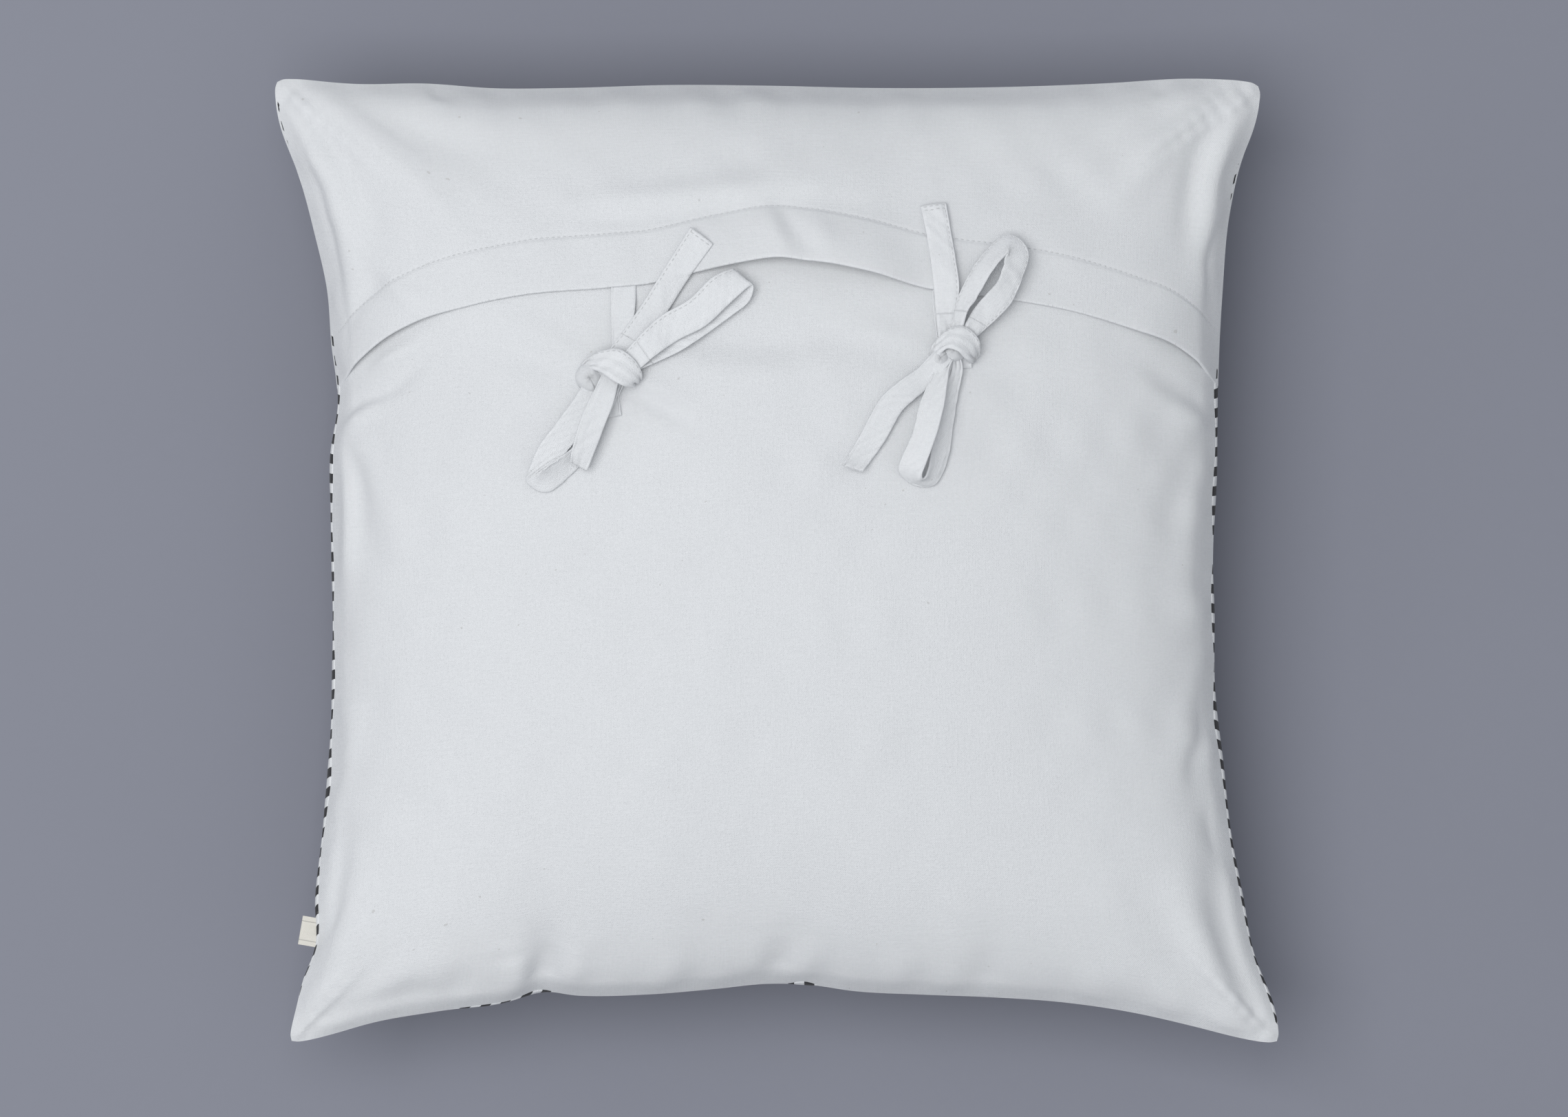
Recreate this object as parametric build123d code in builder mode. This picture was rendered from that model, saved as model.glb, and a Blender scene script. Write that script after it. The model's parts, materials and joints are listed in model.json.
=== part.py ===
from build123d import *
import math
import os

# Square floor cushion that lies on its printed front. The back has an envelope closure: a flap
# that overlaps the lower back panel and is held shut by two bows tied from flat cloth straps.
# A filled inner pad sits inside the cover.
# Millimetres. The origin is the middle of the footprint, on the floor. +Z is up, +Y points at
# the edge that the flap is sewn to.

os.makedirs("parts", exist_ok=True)

# ---- Filled cover ----
cover_width = 596.0  # ear to ear, left to right
cover_depth = 572.0  # ear to ear, near edge to far edge
seam_height = 83.0  # the side seams stand this far off the floor
crown_height = 92.0  # the back crowns this far above the seams
far_right_ear_short = (11.0, 3.0)  # this ear falls short of the widest one, across and along
near_left_ear_short = 8.0
left_pull_in = 32.0  # how far the middle of each side pulls in between its ears
right_pull_in = 36.5
near_pull_in = 37.0
far_pull_in = 4.5
side_curve_power = 2.7  # higher keeps the pull-in nearer to the ears
ear_bluntness = 0.02
resting_level = 0.85  # the floor flattens the front where its fullness passes this
crown_level = 0.985  # and the back is taken as flat past this

# ---- Cloth layers, as depths below the back panel's outer face ----
cloth_thickness = 0.7
layer_gap = 0.15
tie_thickness = 1.0
pad_case_thickness = 0.4
pad_clearance = 0.45
filling_clearance = 0.15

# ---- Closure flap ----
flap_length = 114.0  # far edge of the cover to the flap's hemmed edge, on the centre line
hem_shoulder_share = 0.55  # share of the half width where the hem starts to turn down
hem_shoulder_drop = 19.0
hem_side_drop = 70.0
hem_width = 32.0
back_overlap = 62.0  # the back panel runs this far under the flap
back_hem_width = 22.0
stitch_inset = 1.5
thread_width = 0.6

# ---- Straps and bows ----
tie_width = 15.0
tie_pinch_width = 8.0  # a strap gathers to this where it enters a knot
tie_taper_length = 26.0
loop_thickness = 3.6
loop_end_wall = 2.0
strap_lift = 2.2  # free straps lie this far over the cover, which is crowned under them
strap_clearance = 1.0
knot_length = 26.0
knot_width = 20.0
knot_height = 12.0
knot_band_width = 9.0
knot_clearance = 2.4
panel_tie_length = 34.0

# ---- Label in the left seam ----
label_out = 9.5
label_length = 17.0
label_near_edge = 74.0  # label's middle to the near edge of the cover
label_tape = 0.4
label_fold_gap = 0.2
label_clearance = 0.5

# Each bow: knot centre as (x, distance beyond the flap's edge), the knot's turn, and where its
# straps end, measured from the knot. In each pair the first strap lies under the second.
bows = {
    "left": {
        "knot": (-91.0, -48.0),
        "turn": -35.0,
        "far": (("tail_upper", (48.0, 77.0)), ("loop_upper", (75.0, 50.0))),
        "near": (("loop_lower", (-48.0, -70.0)), ("tail_lower", (-24.0, -55.0))),
        "flap_tie_x": -89.0,
        "panel_tie_reach": -22.0,
    },
    "right": {
        "knot": (103.0, -34.0),
        "turn": 35.0,
        "far": (("tail_upper", (-13.0, 80.0)), ("loop_upper", (36.0, 59.0))),
        "near": (("tail_lower", (-59.0, -72.0)), ("loop_lower", (-23.0, -80.0))),
        "flap_tie_x": 96.0,
        "panel_tie_reach": -14.0,
    },
}

# ---- Worked out from the sizes above ----
tie_top = -(layer_gap + tie_thickness)
hem_layer_bottom = tie_top - layer_gap
hem_layer_top = hem_layer_bottom - cloth_thickness
flap_bottom = hem_layer_top - layer_gap
flap_top = flap_bottom - cloth_thickness
pad_case_top = 2 * cloth_thickness + layer_gap + pad_clearance
pad_case_bottom = pad_case_top + pad_case_thickness
half_width = cover_width / 2
half_depth = cover_depth / 2
hem_middle = half_depth - flap_length
UP = 1
DOWN = -1

# Rings of the filled shape: slopes up from the seams, in degrees, and angles around each ear.
ring_slopes = (7, 17, 29, 42, 56, 70)
ring_angles = [ear + step for ear in (45, 135, 225, 315) for step in (-45, -20, -6, -1.5, 1.5, 6, 20)]
least_ring_gap = 0.04


def square_place(u, v):
    """Plan position of the point (u, v) of the flat cover, each from -1 to 1, with sharp ears."""
    left, right = (1 - u) / 2, (1 + u) / 2
    near, far = (1 - v) / 2, (1 + v) / 2
    # The flap's layers stand outside the back panel, so the far ears start that much further in.
    far_x = half_width + flap_top
    far_y = half_depth + flap_top
    x = far * (right * (far_x - far_right_ear_short[0]) - left * far_x)
    x += near * (right * half_width - left * (half_width - near_left_ear_short))
    y = far * (far_y - right * far_right_ear_short[1]) - near * half_depth
    along_sides = 1 - abs(v) ** side_curve_power
    along_ends = 1 - abs(u) ** side_curve_power
    x += along_sides * (left_pull_in * left**2 - right_pull_in * right**2)
    y += along_ends * (near_pull_in * near**2 - far_pull_in * far**2)
    return x, y


def level_point(angle, level):
    """Point (u, v) at an angle around the cover where sqrt((1-u^2)(1-v^2)) equals the level."""
    cosine, sine = math.cos(math.radians(angle)), math.sin(math.radians(angle))
    mix = (cosine * sine) ** 2
    left_over = 1 - level**2
    square = left_over
    if mix > 1e-9:
        square = (1 - math.sqrt(1 - 4 * mix * left_over)) / (2 * mix)
    return math.sqrt(square) * cosine, math.sqrt(square) * sine


def outer_reach():
    """Lowest and highest x and y of the blunt-eared cover, with the flap's layers at the far ears."""
    across, along = [], []
    for angle in ring_angles:
        u, v = level_point(angle, ear_bluntness)
        stand_out = -flap_top if v > 0 else 0.0
        x, y = square_place(u, v)
        across.append(x + stand_out * u)
        along.append(y + stand_out * v)
    return min(across), max(across), min(along), max(along)


def place(u, v, inset=0.0):
    """Plan position of the point (u, v) on the cover, fitted to the ear-to-ear sizes."""
    left, right, near, far = reach_limits
    x, y = square_place(u, v)
    x = (x - (left + right) / 2) * cover_width / (right - left)
    y = (y - (near + far) / 2) * cover_depth / (far - near)
    return x - inset * u, y - inset * v


def rise_share(level, last_level):
    """Share of the height from the seams to the crown or the floor that a level reaches."""
    fullness = math.sqrt(max(level**2 - ear_bluntness**2, 0.0))
    return fullness / math.sqrt(last_level**2 - ear_bluntness**2)


def half_pillow(depth, side):
    """Half of the filled cover, above or below the seams, with its skin this depth further in."""
    last_level = crown_level if side == UP else resting_level
    rise = (crown_height if side == UP else seam_height) - depth
    slopes = [math.sin(math.radians(slope)) for slope in ring_slopes]
    levels = [ear_bluntness, *[level for level in slopes if level < last_level - least_ring_gap], last_level]
    turns = [(angle - ring_angles[0]) / 360 for angle in ring_angles] + [1.0]
    with BuildPart() as half:
        for level in levels:
            height = seam_height + side * rise * rise_share(level, last_level)
            with BuildSketch(Plane.XY.offset(height)):
                with BuildLine():
                    ring = [place(*level_point(angle, level), depth) for angle in ring_angles]
                    add(Edge.make_spline(ring, periodic=True, parameters=turns))
                make_face()
        loft(ruled=True)
    return half.part


def cloth_half(outer_depth, inner_depth, side):
    """Cloth between two depths of one half of the cover, open at the seams."""
    skins, rims = [], []
    for depth in (outer_depth, inner_depth):
        faces = half_pillow(depth, side).faces().sort_by(Axis.Z, reverse=side == DOWN)
        rims.append(faces[0].outer_wire())
        skins.extend(faces[1:])
    seam_face = Face(rims[0], [rims[1]])
    return Solid(Shell([*skins, seam_face]))


def skin_height(x, y, depth):
    """Height of the upper skin at a depth, over a plan point."""
    u, v = x / half_width, y / half_depth
    for _ in range(30):
        placed = place(u, v, depth)
        u += (x - placed[0]) / half_width
        v += (y - placed[1]) / half_depth
    level = math.sqrt(max((1 - u * u) * (1 - v * v), 0.0))
    return seam_height + (crown_height - depth) * rise_share(level, crown_level)


def hem_points(offset):
    """Points of the flap's hemmed edge, moved this far towards the far edge."""
    drops = ((-1.1, 1.3 * hem_side_drop), (-1, hem_side_drop), (-hem_shoulder_share, hem_shoulder_drop))
    middle = ((0, 0),)
    mirrored = tuple((-share, drop) for share, drop in reversed(drops))
    return [(share * half_width, hem_middle - drop + offset) for share, drop in drops + middle + mirrored]


def hem_edge(x):
    """How far along +Y the flap's edge is at a distance x from the centre line."""
    with BuildLine() as edge:
        Spline(*hem_points(0))
    crossings = edge.edge().find_intersection_points(Axis((x, 0, 0), (0, 1, 0)))
    return crossings[0].Y


def hem_strip(start, stop):
    """Plan strip that follows the flap's edge, from start to stop beyond it."""
    with BuildSketch() as strip:
        with BuildLine():
            lower = Spline(*hem_points(start))
            upper = Spline(*hem_points(stop))
            Line(lower @ 0, upper @ 0)
            Line(lower @ 1, upper @ 1)
        make_face()
    return strip.sketch


def plan_box(x_low, x_high, y_low, y_high):
    """Plan rectangle between two x and two y values."""
    with BuildSketch() as box:
        with Locations(((x_low + x_high) / 2, (y_low + y_high) / 2)):
            Rectangle(x_high - x_low, y_high - y_low)
    return box.sketch


def strap_plane(start, end, lift):
    """Plane over the cover whose x axis runs from start to end and whose y axis goes across."""
    span = math.dist(start, end)
    across = (-(end[1] - start[1]) / span, (end[0] - start[0]) / span)
    middle = ((start[0] + end[0]) / 2, (start[1] + end[1]) / 2)
    half_tie = tie_width / 2
    sides = [skin_height(middle[0] + s * half_tie * across[0], middle[1] + s * half_tie * across[1], flap_top)
             for s in (1, -1)]
    start_height = skin_height(*start, flap_top)
    along = Vector(end[0] - start[0], end[1] - start[1], skin_height(*end, flap_top) - start_height)
    sideways = Vector(across[0], across[1], (sides[0] - sides[1]) / tie_width)
    return Plane(origin=(*start, start_height + lift), x_dir=along, z_dir=along.cross(sideways))


reach_limits = outer_reach()
cut_height = seam_height + crown_height + 60.0
past_side = half_width + 60.0
past_end = half_depth + 60.0
back_panel_end = hem_middle + back_overlap

# ---- Front panel: the printed face that the cushion lies on ----
with BuildPart() as front_panel:
    add(cloth_half(0, cloth_thickness, DOWN))
front_panel.part.label = "front_panel"
export_step(front_panel.part, "parts/front_panel.step")

# ---- Back panel: from the near edge up to its own hem, under the flap ----
with BuildPart() as back_panel:
    add(cloth_half(0, cloth_thickness, UP))
    extrude(plan_box(-past_side, past_side, -past_end, back_panel_end), cut_height, mode=Mode.INTERSECT)
back_panel.part.label = "back_panel"
export_step(back_panel.part, "parts/back_panel.step")

# ---- Turned-under edge of the back panel ----
with BuildPart() as back_panel_hem:
    add(cloth_half(cloth_thickness + layer_gap, 2 * cloth_thickness + layer_gap, UP))
    hem_start = back_panel_end - back_hem_width
    extrude(plan_box(-past_side, past_side, hem_start, back_panel_end), cut_height, mode=Mode.INTERSECT)
back_panel_hem.part.label = "back_panel_hem"
export_step(back_panel_hem.part, "parts/back_panel_hem.step")

# ---- Flap: from the far edge down over the back panel ----
with BuildPart() as flap_panel:
    add(cloth_half(flap_top, flap_bottom, UP))
    extrude(hem_strip(0, cover_depth), cut_height, mode=Mode.INTERSECT)
flap_panel.part.label = "flap_panel"
export_step(flap_panel.part, "parts/flap_panel.step")

# ---- Turned-under hem of the flap ----
with BuildPart() as flap_hem:
    add(cloth_half(hem_layer_top, hem_layer_bottom, UP))
    extrude(hem_strip(0, hem_width), cut_height, mode=Mode.INTERSECT)
flap_hem.part.label = "flap_hem"
export_step(flap_hem.part, "parts/flap_hem.step")

# ---- Line of stitching that holds the flap's hem, lying on the flap ----
with BuildPart() as flap_hem_thread:
    add(cloth_half(flap_top - thread_width / 2, flap_top, UP))
    stitch_line = hem_width - stitch_inset
    extrude(hem_strip(stitch_line - thread_width, stitch_line), cut_height, mode=Mode.INTERSECT)
flap_hem_thread.part.label = "flap_hem_thread"
export_step(flap_hem_thread.part, "parts/flap_hem_thread.step")

# ---- Inner pad: a case of two panels around the filling ----
with BuildPart() as pad_case_front:
    add(cloth_half(pad_case_top, pad_case_bottom, DOWN))
pad_case_front.part.label = "pad_case_front"
export_step(pad_case_front.part, "parts/pad_case_front.step")

with BuildPart() as pad_case_back:
    add(cloth_half(pad_case_top, pad_case_bottom, UP))
pad_case_back.part.label = "pad_case_back"
export_step(pad_case_back.part, "parts/pad_case_back.step")

with BuildPart() as pad_filling:
    add(half_pillow(pad_case_bottom + filling_clearance, DOWN))
    add(half_pillow(pad_case_bottom + filling_clearance, UP))
pad_filling.part.label = "pad_filling"
export_step(pad_filling.part, "parts/pad_filling.step")


def strap_outline(reach):
    """Plan of a free strap in its own plane, gathered where it leaves the knot."""
    taper = min(tie_taper_length, reach / 2)
    with BuildSketch() as outline:
        with BuildLine():
            Polyline(
                (0, tie_pinch_width / 2),
                (taper, tie_width / 2),
                (reach, tie_width / 2),
                (reach, -tie_width / 2),
                (taper, -tie_width / 2),
                (0, -tie_pinch_width / 2),
                close=True,
            )
        make_face()
    return outline.sketch


def show_hinge(name, plane, thickness):
    """Print a free strap's fold line, at the top of its gathered end, in metres."""
    point = plane.from_local_coords((0, 0, thickness))
    axis = Vector(plane.x_dir.X, plane.x_dir.Y, 0).normalized().cross(Vector(0, 0, 1))
    print("hinge", name, [round(c / 1000, 6) for c in point], [round(c, 6) for c in axis])


# ---- Two bows ----
for side, bow in bows.items():
    knot_x = bow["knot"][0]
    knot_y = hem_edge(knot_x) + bow["knot"][1]

    # Strap sewn under the flap's hem, down to the knot
    with BuildPart() as flap_tie:
        add(cloth_half(tie_top, -layer_gap, UP))
        tie_left = bow["flap_tie_x"] - tie_width / 2
        tie_end = hem_edge(bow["flap_tie_x"]) + hem_width - stitch_inset
        tie_plan = plan_box(tie_left, tie_left + tie_width, knot_y, tie_end)
        extrude(tie_plan, cut_height, mode=Mode.INTERSECT)
    flap_tie.part.label = f"{side}_flap_tie"
    export_step(flap_tie.part, f"parts/{side}_flap_tie.step")

    # Strap sewn to the back panel with its end just beyond the knot
    with BuildPart() as panel_tie:
        add(cloth_half(tie_top, -layer_gap, UP))
        sewn_end = knot_y + bow["panel_tie_reach"]
        tie_left = knot_x - tie_width / 2
        knot_end = min(sewn_end + panel_tie_length, knot_y)
        extrude(plan_box(tie_left, tie_left + tie_width, sewn_end, knot_end), cut_height, mode=Mode.INTERSECT)
    panel_tie.part.label = f"{side}_panel_tie"
    export_step(panel_tie.part, f"parts/{side}_panel_tie.step")

    # Knot: a rounded lump with the wrapping band across it
    turn = math.radians(bow["turn"])
    knot_reach = (knot_length / 2 * math.cos(turn), knot_length / 2 * math.sin(turn))
    knot_from = (knot_x - knot_reach[0], knot_y - knot_reach[1])
    knot_to = (knot_x + knot_reach[0], knot_y + knot_reach[1])
    knot_plane = strap_plane(knot_from, knot_to, strap_lift)
    with BuildPart() as knot:
        with BuildSketch(knot_plane):
            with Locations((knot_length / 2, 0)):
                Ellipse(knot_length / 2, knot_width / 2)
        extrude(amount=knot_height)
        fillet(knot.edges().group_by(Axis((0, 0, 0), knot_plane.z_dir))[-1], knot_height / 3)
        fillet(knot.edges().group_by(Axis((0, 0, 0), knot_plane.z_dir))[0], knot_height / 6)
        with BuildSketch(knot_plane.offset(knot_height / 6)):
            with Locations((knot_length / 2, 0)):
                RectangleRounded(knot_band_width, knot_width + 2 * tie_thickness, tie_thickness)
        extrude(amount=knot_height * 5 / 6 + tie_thickness)
    knot.part.label = f"{side}_knot"
    export_step(knot.part, f"parts/{side}_knot.step")

    # Loops and tails that leave the knot, one lying over the other on each side
    for pair in (bow["far"], bow["near"]):
        lift = strap_lift
        for strap, reach_to in pair:
            reach = math.hypot(*reach_to)
            start_share = (knot_length / 2 + knot_clearance) / reach
            start = (knot_x + start_share * reach_to[0], knot_y + start_share * reach_to[1])
            end = (knot_x + reach_to[0], knot_y + reach_to[1])
            plane = strap_plane(start, end, lift)
            length = math.dist(start, end)
            is_loop = strap.startswith("loop")
            thickness = loop_thickness if is_loop else tie_thickness
            with BuildPart() as free_strap:
                with BuildSketch(plane):
                    add(strap_outline(length))
                extrude(amount=thickness)
                if is_loop:
                    with BuildSketch(plane.offset(tie_thickness)):
                        with Locations((length / 2 - loop_end_wall, 0)):
                            Rectangle(length, 2 * tie_width)
                    extrude(amount=loop_thickness - 2 * tie_thickness, mode=Mode.SUBTRACT)
            free_strap.part.label = f"{side}_{strap}"
            export_step(free_strap.part, f"parts/{side}_{strap}.step")
            show_hinge(f"{side}_{strap}", plane, thickness)
            lift += thickness + strap_clearance

# ---- Folded label sewn into the left seam ----
label_v = (label_near_edge - half_depth) / half_depth
seam_low = place(-1, label_v - label_length / 2 / half_depth)
seam_high = place(-1, label_v + label_length / 2 / half_depth)
label_run = Vector(seam_high[0] - seam_low[0], seam_high[1] - seam_low[1], 0).normalized()
label_outward = Vector(-label_run.Y, label_run.X, 0)
seam_middle = Vector((seam_low[0] + seam_high[0]) / 2, (seam_low[1] + seam_high[1]) / 2, seam_height)
label_thickness = 2 * label_tape + label_fold_gap
label_hinge = seam_middle + label_outward * (label_clearance + label_thickness / 2)
label_plane = Plane(origin=label_hinge, x_dir=label_outward, z_dir=label_run)
with BuildPart() as side_label:
    with BuildSketch(label_plane.offset(-label_length / 2)):
        with Locations((label_out / 2, 0)):
            SlotOverall(label_out + label_thickness, label_thickness)
        with Locations((-label_tape, 0)):
            Rectangle(2 * label_out, label_fold_gap, mode=Mode.SUBTRACT)
    extrude(amount=label_length)
side_label.part.label = "side_label"
export_step(side_label.part, "parts/side_label.step")
print("hinge side_label", [round(c / 1000, 6) for c in label_hinge], [round(c, 6) for c in label_run])
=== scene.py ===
import json
import math

import bpy
import numpy as np
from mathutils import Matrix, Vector
from mathutils.bvhtree import BVHTree


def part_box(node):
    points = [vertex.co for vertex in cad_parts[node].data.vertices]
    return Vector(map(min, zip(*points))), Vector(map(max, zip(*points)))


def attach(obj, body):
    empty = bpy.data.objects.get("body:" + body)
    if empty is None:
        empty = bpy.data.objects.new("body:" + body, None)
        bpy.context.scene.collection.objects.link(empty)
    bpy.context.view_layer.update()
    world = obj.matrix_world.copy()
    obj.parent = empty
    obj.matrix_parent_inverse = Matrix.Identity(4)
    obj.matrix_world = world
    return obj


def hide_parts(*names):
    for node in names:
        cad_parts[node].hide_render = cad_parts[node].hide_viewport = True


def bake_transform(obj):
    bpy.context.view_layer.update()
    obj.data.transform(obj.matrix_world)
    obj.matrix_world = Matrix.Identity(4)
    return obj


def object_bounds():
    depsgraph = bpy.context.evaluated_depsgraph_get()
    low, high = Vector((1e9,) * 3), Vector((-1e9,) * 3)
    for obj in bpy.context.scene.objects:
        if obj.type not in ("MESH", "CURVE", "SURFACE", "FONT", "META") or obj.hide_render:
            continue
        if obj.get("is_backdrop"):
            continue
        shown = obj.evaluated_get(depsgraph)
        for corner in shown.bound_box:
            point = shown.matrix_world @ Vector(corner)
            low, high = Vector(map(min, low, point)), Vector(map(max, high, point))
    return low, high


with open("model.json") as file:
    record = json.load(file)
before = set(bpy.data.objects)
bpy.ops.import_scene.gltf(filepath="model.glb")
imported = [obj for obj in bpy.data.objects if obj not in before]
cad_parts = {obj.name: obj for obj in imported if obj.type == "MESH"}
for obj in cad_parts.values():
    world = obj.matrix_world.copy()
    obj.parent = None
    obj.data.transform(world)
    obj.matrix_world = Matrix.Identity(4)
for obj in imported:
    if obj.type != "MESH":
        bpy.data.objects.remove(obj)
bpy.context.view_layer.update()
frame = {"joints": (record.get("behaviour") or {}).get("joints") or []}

MM = 0.001

# ---- Sizes, in metres ----
seam_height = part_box("back_panel")[0].z
crown_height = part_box("back_panel")[1].z - seam_height
flat_half = 300 * MM         # half a side of each panel's flat cloth
filled_half = 290 * MM       # about half a side of the filled cover
tie_width = 15 * MM
tie_thickness = 1.2 * MM
strap_step = 1.1 * MM        # between one row of a strap and the next
strap_clearance = 0.75 * MM  # between a strap's middle and the cloth under it
root_length = 3 * MM         # a strap moves from this far before its hinge
bend_length = 9 * MM         # distance beyond a strap's hinge
hem_width = 32 * MM
back_overlap = 62 * MM       # how far the back panel runs on under the flap
panel_turn = 0.9 * MM        # between the back panel and its own turned hem
panel_sink = 4.5 * MM        # how far the back panel gives way under the flap
flap_gap = 1.5 * MM
flap_layers = 2 * MM         # between the flap's outer face and the hem turned under it
hem_fold = 1 * MM            # radius of the fold along the hem's edge
hem_dimple = 0.8 * MM        # how far the hem's stitching pulls the flap in
stitch_inset = 1.5 * MM
stitch_pitch = 3.3 * MM
thread_radius = 0.3 * MM
fold_strength = 1.3
pad_share = 0.92             # size of the pad as a share of the cover
label_half = 8.5             # half the label's width, in millimetres

# Each side of the filled cover from ear to ear, in millimetres: (share along it, distance out)
LEFT_SIDE = [(-1, -290), (-0.93, -284), (-0.86, -279), (-0.8, -272.4), (-0.69, -271.6), (-0.52, -266.5),
    (-0.35, -262.8), (-0.12, -261.6), (0.11, -262.8), (0.22, -262.8), (0.335, -258.4), (0.45, -262),
    (0.56, -264.5), (0.675, -271.8), (0.79, -280.7), (0.9, -292.4), (1, -298)]
RIGHT_SIDE = [(-1, 298), (-0.915, 292.4), (-0.8, 280.3), (-0.69, 274.2), (-0.57, 267.7), (-0.4, 262),
    (-0.29, 258.2), (-0.12, 257.2), (0, 256.5), (0.22, 258.8), (0.39, 259.2), (0.56, 261.6),
    (0.73, 266.1), (0.84, 273.4), (0.9, 279.9), (1, 287)]
NEAR_SIDE = [(-1, -286), (-0.9, -277.8), (-0.83, -271.8), (-0.69, -264.5), (-0.555, -259.2),
    (-0.485, -253.2), (-0.415, -255.3), (-0.28, -254.8), (-0.14, -251.5), (-0.03, -248.4), (0.05, -249),
    (0.14, -252.7), (0.28, -254.8), (0.42, -256.4), (0.555, -259.2), (0.69, -264.9), (0.83, -274.2),
    (0.9, -279.5), (1, -286)]
FAR_SIDE = [(-1, 286), (-0.83, 281), (-0.69, 281.2), (-0.55, 278.4), (-0.4, 278.6), (-0.2, 280.3),
    (0, 279.9), (0.2, 278.6), (0.42, 278.8), (0.69, 281.5), (0.83, 284), (1, 283)]

# The flap's hemmed edge across the back, in millimetres: (x, y)
HEM_EDGE = [(-300, 40), (-275, 82), (-258, 103), (-230, 128), (-206, 141), (-179, 149), (-148, 155),
    (-97, 159), (-75, 161), (-48, 167), (-15, 173), (-3, 174), (19, 172), (53, 166), (88, 158),
    (137, 152), (175, 145), (208, 135), (230, 127), (260, 103), (280, 80), (300, 50)]

# Soft folds in the cloth, in millimetres: (points along the fold, half width, height)
FLAP_FOLDS = [
    ([(-286, 262), (-262, 225), (-250, 180), (-247, 150)], 9, 3.2),
    ([(-272, 262), (-245, 220), (-228, 188)], 8, -2.4),
    ([(-278, 240), (-262, 200), (-256, 160), (-252, 130)], 6, -2.2),
    ([(-258, 262), (-222, 232), (-196, 205), (-180, 178)], 11, 2.6),
    ([(-240, 266), (-200, 246), (-160, 232)], 10, -1.8),
    ([(-232, 172), (-214, 155), (-200, 150)], 7, 1.6),
    ([(-246, 140), (-240, 152), (-226, 168)], 5, -1.6),
    ([(276, 268), (258, 235), (250, 198), (248, 160)], 9, 3.0),
    ([(262, 268), (246, 238), (240, 205), (240, 180)], 7, -2.6),
    ([(244, 272), (222, 245), (205, 222), (188, 206)], 11, 2.2),
    ([(258, 196), (252, 176), (256, 150), (254, 120)], 5, -2.0),
    ([(268, 232), (262, 205), (262, 180)], 5, 1.8),
    ([(-120, 208), (-60, 212), (0, 216), (50, 213)], 9, 2.0),
    ([(-110, 196), (-50, 201), (10, 207), (60, 202)], 7, -1.2),
    ([(-120, 262), (-40, 255), (40, 252), (120, 256)], 22, 1.6),
    ([(-20, 225), (30, 229), (80, 222)], 12, 1.2),
    ([(2, 203), (8, 192), (14, 182), (20, 174)], 6, -1.8),
    ([(-6, 205), (-2, 190), (4, 178)], 6, 1.1),
    ([(22, 200), (26, 188), (32, 176)], 7, 1.2),
    ([(118, 200), (150, 190), (182, 178)], 14, 1.2),
    ([(80, 230), (96, 205), (104, 180)], 12, 0.9),
    ([(-190, 262), (-150, 256), (-110, 258)], 16, 1.2),
    ([(170, 262), (130, 258), (80, 262)], 16, 1.0),
    ([(150, 235), (175, 215), (192, 190)], 10, -0.9),
]
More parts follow.
